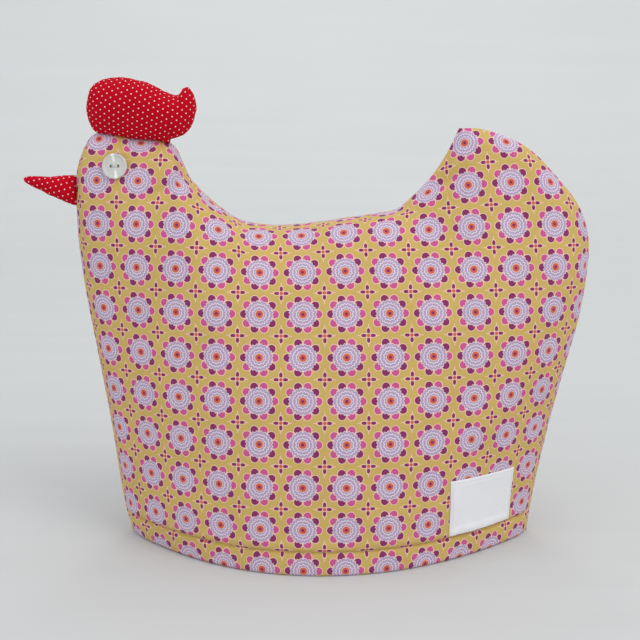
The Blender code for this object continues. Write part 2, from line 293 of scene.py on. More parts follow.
def quads(first, rows, columns, closed=False):
    """Faces of a grid of points that is numbered row by row from first."""
    made = []
    for low in range(first, first + (rows - 1) * columns, columns):
        high = low + columns
        for i in range(columns if closed else columns - 1):
            after = (i + 1) % columns
            made.append((low + i, low + after, high + after, high + i))
    return made


def two_layers(rows, columns, step=1):
    """Faces of a grid, of a layer behind it with every step-th row and column, and of their rim.

    The points of the second layer are numbered on from those of the first."""
    number = np.arange(rows * columns).reshape(rows, columns)
    behind = number[::step, ::step]
    behind = number.size + np.arange(behind.size).reshape(behind.shape)
    rim = []
    for edge in EDGES:
        outer = number[edge].tolist()
        inner = behind[edge].tolist()
        for k in range(len(inner) - 1):
            rim.append((*outer[k * step:(k + 1) * step + 1], inner[k + 1], inner[k]))
    return quads(0, rows, columns), quads(number.size, *behind.shape), rim


def finish_piece(piece, slot, *nodes):
    """Let a piece ride on the body and stand for its nodes."""
    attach(piece, BODY)
    if nodes:
        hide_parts(*nodes)
    return piece


def relax_flat(flat, points, rounds):
    """Draw a flat grid towards the true lengths of the standing grid's edges and diagonals."""
    rows, columns = flat.shape[:2]
    links = []
    share = np.zeros((rows, columns))
    for down, over in ((0, 1), (1, 0), (1, 1), (1, -1)):
        a = (slice(0, rows - down), slice(max(0, -over), columns - max(0, over)))
        b = (slice(down, rows), slice(max(0, over), columns + min(0, over)))
        length = np.linalg.norm(points[b] - points[a], axis=-1)
        weight = 1 / np.maximum(length, 0.05)
        links.append((a, b, length, weight))
        share[a] += weight
        share[b] += weight
    before = flat.copy()
    for _ in range(rounds):
        pull = np.zeros_like(flat)
        for a, b, length, weight in links:
            apart = flat[b] - flat[a]
            now = np.maximum(np.linalg.norm(apart, axis=-1), 1e-6)
            move = apart * (weight * (1 - length / now))[..., None]
            pull[a] += move
            pull[b] -= move
        after = flat + pull / share[..., None] + 0.93 * (flat - before)
        before = flat
        flat = after
    return flat


def look_up(grid, u, v):
    """Values of a grid at arrays of shares, 0 to 1, of its columns and rows."""
    a = np.clip(u, 0, 1) * (grid.shape[1] - 1)
    b = np.clip(v, 0, 1) * (grid.shape[0] - 1)
    i = np.minimum(a.astype(int), grid.shape[1] - 2)
    j = np.minimum(b.astype(int), grid.shape[0] - 2)
    a = (a - i)[..., None]
    b = (b - j)[..., None]
    return ((grid[j, i] * (1 - a) + grid[j, i + 1] * a) * (1 - b)
            + (grid[j + 1, i] * (1 - a) + grid[j + 1, i + 1] * a) * b)


def lay_flat(form, guess, sizes):
    """Places on the flat cloth for a standing grid of points, from rough to fine, set upright."""
    flat = guess
    for rows, columns, rounds in sizes:
        u, v = np.meshgrid(np.linspace(0, 1, columns), np.linspace(0, 1, rows))
        points = look_up(form, u, v)
        flat = relax_flat(look_up(flat, u, v), points, rounds)
    middle = (slice(rows // 4, 3 * rows // 4), slice(columns // 4, 3 * columns // 4))
    wanted = points[middle][..., [0, 2]].reshape(-1, 2)
    given = flat[middle].reshape(-1, 2)
    centre = given.mean(axis=0)
    given = given - centre
    wanted = wanted - wanted.mean(axis=0)
    turn = math.atan2((given[:, 0] * wanted[:, 1] - given[:, 1] * wanted[:, 0]).sum(),
                      (given * wanted).sum())
    cos = math.cos(turn)
    sin = math.sin(turn)
    return (flat - centre) @ np.array([[cos, sin], [-sin, cos]])


def flat_panel():
    """The panel's cloth laid flat."""
    rows, columns, _ = FLAT_STEPS[-1]
    u, v = np.meshgrid(np.linspace(0, 1, columns), np.linspace(0, 1, rows))
    points = outside_points(u, v)
    guess = np.stack([points[..., 0], running(points[..., 1:], 0)], axis=-1)
    return lay_flat(points, guess, FLAT_STEPS)


def running(points, axis):
    """Lengths along the rows or columns of a grid of points, from their first point."""
    steps = np.linalg.norm(np.diff(points, axis=axis), axis=-1)
    return np.pad(np.cumsum(steps, axis=axis), ((1 - axis, 0), (axis, 0)))


# Panels

def panel_shares():
    """Shares across and up the panel for its rows and columns, finer at the seams and the hem."""
    steps = np.linspace(0, 1, COLUMNS + 1)
    across = steps - COLUMN_CROWDING * np.sin(2 * math.pi * steps) / (2 * math.pi)
    hem_rows = ROWS // 5
    seam_rows = ROWS // 6
    hem = np.linspace(0, HEM_ROWS_TO, hem_rows, endpoint=False)
    open_cloth = np.linspace(HEM_ROWS_TO, SEAM_ROWS_FROM, ROWS - hem_rows - seam_rows,
                             endpoint=False)
    crowded = 1 - (1 - np.linspace(0, 1, seam_rows + 1)) ** SEAM_CROWDING
    seam = SEAM_ROWS_FROM + (BACK_HEIGHT - SEAM_ROWS_FROM) * crowded
    return across, np.concatenate([hem, open_cloth, seam]) / BACK_HEIGHT


def seam_distances(u, v):
    """Distances from the nearer side seam and from the top seam."""
    return (1 - np.abs(2 * u - 1)) * HALF_WIDTH, (1 - v) * BACK_HEIGHT


def outside_points(u, v):
    """The smooth outside of the near panel's mirror image, y away from the seam plane."""
    x, z = outline_grid(u, v)
    from_side, from_top = seam_distances(u, v)
    edge = rounded(from_side / PUFF_RUN) * rounded(from_top / PUFF_RUN)
    y = SEAM_GAP / 2 + PUFF * edge + (HALF_DEPTH - PUFF) * swell(u, v)
    return np.stack([x, y, z], axis=-1)


def inside_points(u, v):
    """The matching inside, set in from the seam by the wall."""
    side_inset = WALL / (2 * HALF_WIDTH)
    top_inset = WALL / BACK_HEIGHT
    x, z = outline_grid(side_inset + u * (1 - 2 * side_inset), v * (1 - top_inset))
    y = SEAM_GAP / 2 + (HALF_DEPTH - WALL) * swell(u, v)
    return np.stack([x, y, z], axis=-1)


def outward(points):
    """Unit normals of a grid of points, away from the seam plane."""
    normal = unit(np.cross(np.gradient(points, axis=0), np.gradient(points, axis=1)))
    return np.where(normal[..., 1:2] < 0, -normal, normal)


def push_out(points, relief):
    """Move a panel's points outwards, leaving its seams in place and its hem on the floor."""
    relief[:, 0] = relief[:, -1] = relief[-1] = 0
    moved = points + outward(points) * relief[..., None]
    moved[..., 1] = np.maximum(moved[..., 1], SEAM_GAP / 2)
    moved[..., 2] = np.maximum(moved[..., 2], 0)
    moved[0, :, 2] = 0
    return moved


def fade_in(distance, over):
    """Nothing at a distance of 0, full from over on, smooth between."""
    share = np.clip(distance / over, 0, 1)
    return share * share * (3 - 2 * share)


def rolled(distance, radius):
    """How far a rolled edge falls back at a distance in from it."""
    left = 1 - np.clip(distance / radius, 0, 1)
    return radius * (1 - np.sqrt(1 - left ** 2))


def seam_gathers(along, away, scale, seed, stretch=0.25, fine=0.45, step=5, reach=5.0, start=0.8):
    """Small gathers that run out square from a seam and die away."""
    waves = noise_grid(along, away * stretch, scale, seed)
    waves += fine * noise_grid(along, away * 0.3, scale * 0.45, seed + step)
    return waves * np.exp(-away / reach) * (1 - np.exp(-away / start))


def hem_relief(along, above, seed):
    """The line of stitches pulls a groove with gathers beside it, and the cloth is full above."""
    beside = above - HEM_STITCH_UP
    groove = -1.6 * np.exp(-(beside / 1.1) ** 2) - 0.3 * np.exp(-(beside / 4.0) ** 2)
    groove += 0.7 * np.exp(-((beside - 4.0) / 3.0) ** 2)
    held = 0.25 * np.cos(2 * math.pi * along / STITCH_PITCH) * np.exp(-(beside / 1.3) ** 2)
    ripples = 0.55 * noise_grid(along + beside * 0.35, above * 0.16, 7.5, seed)
    ripples *= np.exp(-np.abs(beside) / 7.0) * (1 - np.exp(-(beside / 1.6) ** 2))
    return groove + held + ripples


def crease_relief(side, x, z):
    """How far the creases of one panel press it in, as a negative height."""
    total = np.zeros(x.shape)
    for place, place_x, place_z, degrees, length, width, depth in CREASES:
        if place != side:
            continue
        turn = math.radians(degrees)
        along = (x - place_x) * math.cos(turn) + (z - place_z) * math.sin(turn)
        beside = (z - place_z) * math.cos(turn) - (x - place_x) * math.sin(turn)
        total -= depth * np.exp(-(along / length) ** 2 - (beside / width) ** 2)
    return total


def outside_relief(side, u, v, points, along, above, cloth):
    """How far the cloth stands off the smooth outside, in millimetres."""
    seed = 3.0 if side < 0 else 41.0
    from_side, from_top = seam_distances(u, v)
    relief = np.zeros(u.shape)
    for height, scale, step in ((0.75, 52, 0), (0.28, 19, 1), (0.08, 7, 2)):
        relief += height * noise_grid(cloth[..., 0], cloth[..., 1], scale, seed + step)
    relief *= fade_in(from_side, 22) * fade_in(from_top, 22) * fade_in(above, 26)
    fullness = fade_in(from_side, 4) * fade_in(from_top, 4)
    relief += fullness * crease_relief(side, points[..., 0], points[..., 2])
    relief += 0.42 * seam_gathers(v * SIDE_SEAM, from_side, 9.0, seed + 3, **PANEL_GATHERS)
    relief += 0.50 * seam_gathers(u * TOP_SEAM, from_top, 9.5, seed + 4, **PANEL_GATHERS)
    relief += fade_in(from_side, 3) * hem_relief(along, above, seed + 5)
    return relief - rolled(above, HEM_ROUND) * fade_in(from_side, 5)


def inside_relief(side, u, v, along, above):
    """How far the inside stands in from its smooth form: the turned-up hem and soft wrinkles."""
    from_side, _ = seam_distances(u, v)
    turned = np.clip((HEM_TURN + 0.4 - above) / 0.8, 0, 1)
    wrinkles = 0.5 * noise_grid(along, above, 34, 60.0 + side)
    wrinkles += 0.3 * noise_grid(along, above, 13, 62.0 + side)
    relief = 0.7 * turned + wrinkles * fade_in(above, 20) - rolled(above, HEM_ROUND_INSIDE)
    return relief * fade_in(from_side, 14)


def add_panel(name, side, flat, print_look, lining_look):
    """One padded panel: the printed outside, the hem turned up inside, and the lining."""
    u, v = np.meshgrid(*panel_shares())
    smooth = outside_points(u, v)
    along = running(smooth, 1)
    above = running(smooth, 0)
    cloth = look_up(flat, u, v)
    outside = push_out(smooth, outside_relief(side, u, v, smooth, along, above, cloth))

    step = LINING_STEP
    u_in = u[::step, ::step]
    v_in = v[::step, ::step]
    inside = inside_points(u_in, v_in)
    hem_cloth = look_up(flat, u_in, np.zeros(u_in.shape))
    above_in = inside[..., 2]
    turned = above_in.max(axis=1) < HEM_TURN
    below_edge = hem_cloth[..., 1] - WALL - above_in
    inside = push_out(inside, -inside_relief(side, u_in, v_in, hem_cloth[..., 0], above_in))

    faces, faces_in, rim = two_layers(*u.shape, step)
    looks = [0] * len(faces)
    for is_turned in turned[:-1]:
        looks += [0 if is_turned else 1] * (u_in.shape[1] - 1)
    looks += [0] * len(rim)

    points = np.concatenate([outside.reshape(-1, 3), inside.reshape(-1, 3)])
    points[:, 1] *= side
    kept = [np.dstack([cloth, np.minimum(*seam_distances(u, v))]),
            np.dstack([hem_cloth[..., 0], below_edge, np.full(u_in.shape, 50.0)])]
    kept = np.concatenate([part.reshape(-1, 3) for part in kept])
    kept += (0, 0, 0) if side < 0 else (11, 7, 0)   # the far panel's print is cut elsewhere
    panel = add_mesh(name, points, faces + faces_in + rim, [print_look, lining_look], looks,
                     {"cloth": kept})
    return panel, points[:u.size].reshape(outside.shape), along, above


# Thread

def add_thread(name, paths, diameter, look):
    """Short lengths of thread in one mesh; each path is a list of (point, raised direction)."""
    points = []
    faces = []
    kept = []
    sides = 6
    for path in paths:
        first = len(points)
        places = np.array([place for place, _ in path])
        forwards = unit(np.gradient(places, axis=0))
        for (place, raised), forward, run in zip(path, forwards, run_along(places)):
            beside = unit(np.cross(forward, raised))
            upward = np.cross(beside, forward)
            for side in range(sides):
                angle = 2 * math.pi * side / sides
                points.append(place + diameter / 2 * (math.cos(angle) * upward
                                                      + math.sin(angle) * beside))
                kept.append((run, side / sides, 0))
        faces += quads(first, len(path), sides, closed=True)
        for end in (first, len(points) - sides):
            faces.append(tuple(range(end, end + sides)))
    return add_mesh(name, points, faces, [look], attributes={"thread": kept}, sharp=80)


def hem_stitch_paths(outside, along, above):
    """Stitch after stitch along the hem, lying in the groove that they pull."""
    low = slice(0, 60)          # rows that reach well past the stitches
    columns = range(outside.shape[1])
    line = np.array([on_line(outside[low, i], above[low, i], HEM_STITCH_UP) for i in columns])
    run = np.array([np.interp(HEM_STITCH_UP, above[low, i], along[low, i]) for i in columns])
    side = math.copysign(1, line[len(line) // 2, 1])
    paths = []
    start = math.ceil((run[0] + 5) / STITCH_PITCH) * STITCH_PITCH
    for middle in np.arange(start, run[-1] - 5, STITCH_PITCH):
        path = []
        for share in (-1, -0.8, -0.4, 0, 0.4, 0.8, 1):
            place = middle + share * STITCH_LENGTH / 2
            point = on_line(line, run, place)
            raised = unit(np.cross(on_line(line, run, place + 1) - point, (0, 0, 1)))
            raised *= side * math.copysign(1, raised[1])
            lift = 0.22 - 0.75 * abs(share) ** 3
            path.append((point + raised * lift, raised))
        paths.append(path)
    return paths


# Stuffed red pieces

def ring_grid(sections, sides):
    """Rings of points from the top seam round; a section has an x, its lowest and highest z,
    half its thickness, how much it narrows to its foot and how square its lower half is."""
    turn = 2 * math.pi * np.arange(sides) / sides
    rise = np.cos(turn)
    out = np.sin(turn)
    rings = []
    for x, low, high, thick, narrow, square in sections:
        body = np.sign(out) * np.abs(out) ** np.where(rise < 0, square, 0.92)
        y = thick * body * (1 - narrow * ((1 - rise) / 2) ** 2)
        z = (high + low) / 2 + (high - low) / 2 * rise
        rings.append(np.stack([np.full(sides, x), y, z], axis=-1))
    return np.array(rings)


def ring_normals(rings):
    """Unit normals of a row of rings, away from their middles."""
    around = np.roll(rings, -1, axis=1) - np.roll(rings, 1, axis=1)
    normal = unit(np.cross(np.gradient(rings, axis=0), around))
    centre = rings.mean(axis=1, keepdims=True)
    inward = ((rings - centre) * normal).sum(axis=-1, keepdims=True) < 0
    return np.where(inward, -normal, normal)


def to_seam(rings):
    """Distance round each ring from its top seam, and its whole half length."""
    steps = np.linalg.norm(np.roll(rings, -1, axis=1) - rings, axis=-1)
    run = np.pad(np.cumsum(steps, axis=1), ((0, 0), (1, 0)))
    whole = run[:, -1:]
    run = run[:, :-1]
    return np.minimum(run, whole - run), whole / 2


def close_rings(rings, first_tip, last_tip):
    """Points and faces of a row of rings with a point at each end."""
    count, sides = rings.shape[:2]
    points = np.concatenate([rings.reshape(-1, 3), [first_tip, last_tip]])
    faces = quads(0, count, sides, closed=True)
    end = count * sides
    for k in range(sides):
        after = (k + 1) % sides
        faces.append((k, after, end))
        last = (count - 1) * sides
        faces.append((last + k, last + after, end + 1))
    return points, faces


def red_cloth(rings, seam_distance, first, sizes):
    """Cloth coordinates of a stuffed piece from its ring first on, the same on both its sides."""
    rows, sides = rings.shape[:2]
    half = rings[first:, :sides // 2 + 1]
    over = running(half[..., :2], 0)
    down = running(half[..., 1:], 1)
    guess = np.stack([over - over[len(over) // 2], down[:, -1:] / 2 - down], axis=-1)
    flat = lay_flat(half, guess, sizes)
    step = np.arange(sides)
    u, v = np.meshgrid(np.minimum(step, sides - step) * 2 / sides,
                       (np.arange(rows) - first) / (rows - 1 - first))
    kept = np.dstack([look_up(flat, u, v), seam_distance])
    return np.concatenate([kept.reshape(-1, 3), [kept[0].mean(axis=0), kept[-1].mean(axis=0)]])


def add_comb(look):
    """The comb: its sections stand in the seam, with gathers along its ridge and its foot."""
    top = smooth_curve(COMB_TOP)
    under = smooth_curve(COMB_UNDER)
    front = COMB_TOP[0]
    back = COMB_TOP[-1]
    middle = (front[0] + back[0]) / 2
    reach = (back[0] - front[0]) / 2
    sections = []
    count = 170
    for step in range(1, count):
        share = -math.cos(math.pi * step / count)
        x = middle + reach * share
        high, low, seam = (np.interp(x, *line.T) for line in (top, under, CROWN_LINE))
        thick = COMB_HALF_THICKNESS * math.sqrt(1 - abs(share) ** COMB_ENDS)
        sections.append((x, max(low, seam - COMB_SINK), high, thick, COMB_NARROW, COMB_SQUARE))
    rings = ring_grid(sections, 112)
    away, half_length = to_seam(rings)
    cloth = red_cloth(rings, away, 0, COMB_FLAT_STEPS)
    along = np.repeat(run_along(rings[:, 0])[:, None], rings.shape[1], axis=1)
    side = np.sign(rings[..., 1])
    x = rings[..., 0]
    z = rings[..., 2]
    relief = -0.75 * np.exp(-(away / 0.9) ** 2)
    relief += 0.75 * seam_gathers(along + 40 * side, away, 5.0, 20.0)
    relief += 0.32 * noise_grid(along, away * 0, 3.2, 22.0) * np.exp(-away / 2.0)
    low_away = half_length - away
    relief += 0.55 * seam_gathers(along + 70 * side, low_away, 6.5, 25.0)
    relief -= 0.5 * fade_in(low_away, 8) * fade_in(-77 - x, 6)
    ends = fade_in(np.minimum(x - front[0], back[0] - x), 9)
    relief += ends * (0.45 * noise_grid(x + 50 * side, z, 15, 28.0)
                      + 0.16 * noise_grid(x + 50 * side, z, 6, 29.0))
    rings = rings + ring_normals(rings) * relief[..., None]
    points, faces = close_rings(rings, (front[0], 0, front[1]), (back[0], 0, back[1]))
    return add_mesh("comb_cloth", points, faces, [look], attributes={"cloth": cloth}, sharp=80)


def add_beak(look):
    """The beak, with a seam along its top and its underside."""
    sections = [(x, 206.4, 223.6, 0.1, 0.0, BEAK_SQUARE) for x in BEAK_ROOT]
    for x, low, high, thick in smooth_curve(BEAK_SECTIONS, 12):
        sections.append((x, low, high, max(thick, 0.3), 0.0, BEAK_SQUARE))
    rings = ring_grid(sections, 64)
    away, half_length = to_seam(rings)
    cloth = red_cloth(rings, away, len(BEAK_ROOT), BEAK_FLAT_STEPS)
    x = rings[..., 0]
    side = np.sign(rings[..., 1])
    relief = 0.3 * noise_grid(x + 30 * side, rings[..., 2], 8, 35.0)
    for from_seam, dip, shift, scale, seed in ((away, 0.45, 30, 4.0, 31.0),
                                               (half_length - away, 0.35, 60, 4.5, 33.0)):
        relief -= dip * np.exp(-(from_seam / 0.7) ** 2)
        relief += 0.4 * seam_gathers(x + shift * side, from_seam, scale, seed)
    relief *= fade_in(x - BEAK_SECTIONS[-1][0], 14) * fade_in(-137.2 - x, 2)
    rings = rings + ring_normals(rings) * relief[..., None]
    tip = rings[-1].mean(axis=0) + np.array([-0.15, 0, 0])
    points, faces = close_rings(rings, rings[0].mean(axis=0), tip)
    return add_mesh("beak_cloth", points, faces, [look], attributes={"cloth": cloth}, sharp=80)


# Buttons and label

def skin_of(panel):
    """A search tree over a panel, in millimetres."""
    points = np.empty(len(panel.data.vertices) * 3)
    panel.data.vertices.foreach_get("co", points)
    faces = [tuple(face.vertices) for face in panel.data.polygons]
    return BVHTree.FromPolygons((points.reshape(-1, 3) / MM).tolist(), faces)


def skin_point(tree, side, x, z):
    """Where a panel's outside lies at this x and z."""
    place = tree.ray_cast(Vector((x, side * 2 * HALF_DEPTH, z)), Vector((0, -side, 0)))[0]
    return np.array(place)


def skin_normal(tree, side, x, z, reach=3.0):
    """The outward direction of the panel there, smoothed over the cloth within reach."""
    across = skin_point(tree, side, x + reach, z) - skin_point(tree, side, x - reach, z)
    up = skin_point(tree, side, x, z + reach) - skin_point(tree, side, x, z - reach)
    normal = unit(np.cross(across, up))
    return normal if normal[1] * side > 0 else -normal


def button_mesh(name, look):
    """A button with its two holes, flat on the plane z = 0."""
    profile = smooth_curve(BUTTON_PROFILE, 4)
    profile[:, 0] = np.maximum(profile[:, 0], 0)
    steps = 96
    turn = 2 * math.pi * np.arange(steps) / steps
    rings = np.array([[(radius * math.cos(a), radius * math.sin(a), height) for a in turn]
                      for radius, height in profile[1:-1]])
    points, faces = close_rings(rings, (0, 0, profile[0][1]), (0, 0, profile[-1][1]))
    body = add_mesh(name, points, faces, [look])
    for sign in (-1, 1):
        bpy.ops.mesh.primitive_cylinder_add(vertices=32, radius=HOLE_RADIUS * MM,
                                            depth=4 * BUTTON_THICKNESS * MM)
        drill = bpy.context.object
        drill.location = (sign * HOLE_SPACING / 2 * MM, 0, 0)
        cut = body.modifiers.new("hole", "BOOLEAN")
        cut.operation = "DIFFERENCE"
        cut.solver = "EXACT"
        cut.object = drill
        bpy.context.view_layer.update()
        cut_mesh = bpy.data.meshes.new_from_object(
            body.evaluated_get(bpy.context.evaluated_depsgraph_get()))
        body.modifiers.clear()
        body.data = cut_mesh
        bpy.data.objects.remove(drill)
    body.data.materials.clear()
    body.data.materials.append(look)
    return body


def add_button(name, tree, side, look, thread_look):
    """The eye button, seated on the cloth and facing outwards, with its thread."""
    centre = skin_point(tree, side, EYE_X, EYE_Z)
    normal = skin_normal(tree, side, EYE_X, EYE_Z)
    right = unit(np.array([1.0, 0, 0]) - normal * normal[0])
    up = np.cross(normal, right)
    if up[2] < 0:
        up = -up
    proud = 0.0
    for angle in np.linspace(0, 2 * math.pi, 36, endpoint=False):
        for radius in (BUTTON_RADIUS * 0.5, BUTTON_RADIUS * 0.87):
            beside = skin_point(tree, side, EYE_X + radius * math.cos(angle),
                                EYE_Z + radius * math.sin(angle))
            proud = max(proud, float((beside - centre) @ normal))
    centre = centre + normal * (proud + BUTTON_GAP)

    body = button_mesh(name, look)
    mesh = body.data
    local = np.empty(len(mesh.vertices) * 3)
    mesh.vertices.foreach_get("co", local)
    local = local.reshape(-1, 3) / MM
    placed = centre + local[:, :1] * right + local[:, 1:2] * up + local[:, 2:] * normal
    mesh.vertices.foreach_set("co", (placed * MM).ravel())
    keep_vectors(mesh, "face", local)
    keep_vectors(mesh, "grain", unit(-local[:, 1:2] * right + local[:, :1] * up))
    smooth_faces(mesh, 35)

    way = [(-share, height) for share, height in STRAND] + [(0.0, 1.84)] + list(STRAND[::-1])
    paths = []
    for offset, lean in ((-0.28, 0.12), (0.26, -0.12)):
        path = []
        for share, height in way:
            raised = height + (0.1 if height > 1.5 else 0)
            place = (centre + right * share * HOLE_SPACING / 2
                     + up * (offset * (0.6 + 0.4 * (1 - abs(share))) + lean * share)
                     + normal * raised)
            path.append((place, normal if abs(share) < 0.9 else up))
        paths.append(path)
    thread = add_thread(f"{name}_thread", paths, EYE_THREAD_WIDTH, thread_look)
    return body, thread


def level_line(tree, z, shares):
    """Places on the near panel at one height, at lengths along the cloth from the label's middle."""
    middle = LABEL_X + LABEL_LEAN * (z - LABEL_Z)
    x = middle + np.arange(-70, 71) * 0.5
    x = x[x < 132]
    line = np.array([skin_point(tree, -1, place, z) for place in x])
    run = run_along(line)
    return on_line(line, run - np.interp(middle, line[:, 0], run), shares)


def add_label(tree, look, thread_look):
    """The bare sewn-on label: its edges are turned in, and small stitches hold it all round."""
    half = np.array([LABEL_WIDTH, LABEL_HEIGHT]) / 2
    across = np.linspace(-half[0], half[0], LABEL_COLUMNS)
    a, b = np.meshgrid(across, np.linspace(-half[1], half[1], LABEL_ROWS))
    skin = np.array([level_line(tree, LABEL_Z + rise, across) for rise in b[:, 0]])
    for _ in range(3):
        inner = skin[1:-1, 1:-1]
        skin[1:-1, 1:-1] = 0.4 * inner + 0.15 * (skin[:-2, 1:-1] + skin[2:, 1:-1]
                                                 + skin[1:-1, :-2] + skin[1:-1, 2:])
    mirror = np.array([1, -1, 1])
    normal = outward(skin * mirror) * mirror
    from_edge = np.minimum(half[0] - np.abs(a), half[1] - np.abs(b))
    round_edge = np.sqrt(1 - (1 - np.clip(from_edge / 0.45, 0, 1)) ** 2)
    turned = 1 - fade_in(from_edge - LABEL_TURNED, 1.2)
    stitch_line = np.exp(-((from_edge - LABEL_FOLD) / 0.4) ** 2)
    thick = 0.30 + round_edge * (0.42 + 0.14 * turned - 0.16 * stitch_line)
    thick += 0.07 * noise_grid(a, b, 9, 71.0) * round_edge
    face = skin + normal * thick[..., None]
    back = skin + normal * LABEL_GAP
    points = np.concatenate([face.reshape(-1, 3), back.reshape(-1, 3)])
    cloth = np.stack([a, b, from_edge], axis=-1).reshape(-1, 3)
    label = add_mesh("label_cloth", points, sum(two_layers(*a.shape), []), [look],
                     attributes={"cloth": np.concatenate([cloth, cloth])}, sharp=70)

    paths = []
    corners = (half - LABEL_FOLD) * np.array([(-1, -1), (1, -1), (1, 1), (-1, 1)])
    for corner, onward in zip(corners, np.roll(corners, -1, axis=0)):
        count = round(math.dist(corner, onward) / LABEL_STITCH)
        for step in range(count):
            path = []
            for part in (0.1, 0.2, 0.5, 0.8, 0.9):
                u, v = (corner + (step + part) / count * (onward - corner)) / half / 2 + 0.5
                raised = look_up(normal, u, v)
                lift = 0.10 - 0.5 * max(0, abs(part - 0.5) - 0.25)
                path.append((look_up(face, u, v) + raised * lift, raised))
            paths.append(path)
    stitches = add_thread("label_stitches", paths, LABEL_THREAD_WIDTH, thread_look)
    return label, stitches


# Materials

def colour(red, green, blue):
    """A colour given in the usual 0 to 255, as a shader wants it."""
    share = np.array([red, green, blue]) / 255
    made = np.where(share <= 0.04045, share / 12.92, ((share + 0.055) / 1.055) ** 2.4)
    return (*made.tolist(), 1.0)


def join(tree, value, socket):
    """Link a Value to a socket, or set the socket to a number or colour."""
    if isinstance(value, Value):
        tree.links.new(value.socket, socket)
    else:
        socket.default_value = value


class Value:
    """An output in a material; sums with it add the nodes that work them out."""

    def __init__(self, tree, socket):
        self.tree = tree
        self.socket = socket

    def do(self, operation, *others, clamp=False):
        """The Value of a math node that starts from this one."""
        node = self.tree.nodes.new("ShaderNodeMath")
        node.operation = operation
        node.use_clamp = clamp
        for value, socket in zip((self, *others), node.inputs):
            join(self.tree, value, socket)
        return Value(self.tree, node.outputs[0])

    def __add__(self, other):
        return self.do("ADD", other)

    def __sub__(self, other):
        return self.do("SUBTRACT", other)

    def __mul__(self, other):
        return self.do("MULTIPLY", other)

    def __abs__(self):
        return self.do("ABSOLUTE")

    def above(self, edge, soft=0.16):
        """1 where the value is over the edge, with a soft change as wide as soft."""
        return (self - edge).do("MULTIPLY_ADD", 1 / soft, 0.5, clamp=True)

    def below(self, edge, soft=0.16):
        return self.above(edge, -soft)

    def near(self, middle, half, soft=0.16):
        """1 where the value is within half of the middle."""
        return abs(self - middle).below(half, soft)


class Nodes:
    """Puts together a material's nodes; what goes in is a Value, a number or a colour."""

    def __init__(self, name):
        self.material = bpy.data.materials.new(name)
        self.material.use_nodes = True
        self.tree = self.material.node_tree
        self.shader = self.tree.nodes["Principled BSDF"]

    def add(self, kind, output, inputs, **settings):
        """The Value of one output of a new node, with its inputs by name or number."""
        node = self.tree.nodes.new("ShaderNode" + kind)
        for name, value in settings.items():
            setattr(node, name, value)
        for name, value in inputs.items():
            join(self.tree, value, node.inputs[name])
        return Value(self.tree, node.outputs[output])

    def attribute(self, name):
        return self.add("Attribute", "Vector", {}, attribute_name=name)

    def parts(self, vector):
        node = self.tree.nodes.new("ShaderNodeSeparateXYZ")
        join(self.tree, vector, node.inputs[0])
        return [Value(self.tree, output) for output in node.outputs]

    def vector(self, x, y, z=0.0):
        return self.add("CombineXYZ", 0, {0: x, 1: y, 2: z})

    def length(self, a, b):
        return (a * a + b * b).do("SQRT")

    def mix(self, share, a, b, blend="MIX"):
        return self.add("Mix", 2, {"Factor": share, 6: a, 7: b}, data_type="RGBA", blend_type=blend)

    def tint(self, base, brightness):
        """The colour made lighter or darker by a number about 1."""
        grey = self.vector(brightness, brightness, brightness)
        return self.mix(1.0, base, grey, "MULTIPLY")

    def noise(self, vector, scale, detail=2.0):
        return self.add("TexNoise", 0, {"Vector": vector, "Scale": scale, "Detail": detail})

    def range(self, value, low, high):
        """A noise of about 0.3 to 0.7 spread over low to high."""
        return self.add("MapRange", 0, {"Value": value, "From Min": 0.3, "From Max": 0.7,
                                        "To Min": low, "To Max": high})

    def weave(self, along, above, pitch):
        """Height, 0 to 1, of a plain weave: each thread goes over one and under the next."""
        warp = (along * (math.pi / pitch)).do("SINE")
        weft = (above * (math.pi / pitch)).do("SINE")
        over = (warp * weft).do("MULTIPLY_ADD", 1.5, 0.5, clamp=True)
        return over * (abs(warp) - abs(weft)) + abs(weft)

    def bump(self, height, distance, strength=1.0):
        self.set(Normal=self.add("Bump", 0, {"Height": height, "Distance": distance * MM,
                                             "Strength": strength}))

    def set(self, **values):
        for name, value in values.items():
            join(self.tree, value, self.shader.inputs[name.replace("_", " ")])


MUSTARD = colour(208, 177, 100)
LAVENDER = colour(184, 160, 192)
NEAR_WHITE = colour(236, 228, 230)
MAGENTA = colour(207, 88, 143)
PLUM = colour(139, 47, 99)
CORAL = colour(216, 102, 76)
PALE = colour(248, 208, 190)
CREAM = colour(232, 222, 200)
RED = colour(195, 3, 28)
DOT = colour(255, 232, 238)

PRINT_PITCH = 25.0
PRINT_START = (6.0, 21.5)
PETALS = 10
PETALS_OUT = 9.1            # from the middle of a flower to the middle of its petals
DOT_STEPS = ((2.33, -2.33), (3.0, 1.6))  # from one pin dot to the two beside it
DOT_RADIUS = 0.37


